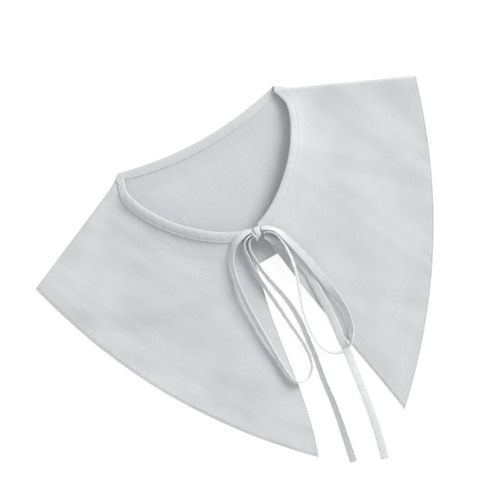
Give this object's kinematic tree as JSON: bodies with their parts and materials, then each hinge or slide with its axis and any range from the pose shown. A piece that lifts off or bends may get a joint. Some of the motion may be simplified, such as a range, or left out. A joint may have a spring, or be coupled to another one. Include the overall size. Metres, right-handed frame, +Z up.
{
  "type": "detachable collar",
  "caption": "Wide cotton collar with two long front points, folded at the shoulders, its bound neck edge closed by narrow ties in a bow.",
  "frame": {"origin": "on the floor under the middle of the collar's box, the free ties left out", "axes": "+X across the shoulders towards the right of the picture, +Y towards the back of the neck, +Z up off the floor"},
  "size_m": [0.4144, 0.3598, 0.0251],
  "materials": {
    "cotton_cloth": "plain weave cotton, cool white, softly pressed",
    "cotton_tape": "folded cotton tape, cool white, edge stitched"
  },
  "bodies": {
    "root": {"collar_body": "cotton_cloth", "neck_binding": "cotton_tape", "bow_knot": "cotton_tape", "bow_loop_left": "cotton_tape", "bow_loop_right": "cotton_tape", "tie_tail_left": "cotton_tape", "tie_tail_right": "cotton_tape"}
  },
  "joints": []
}
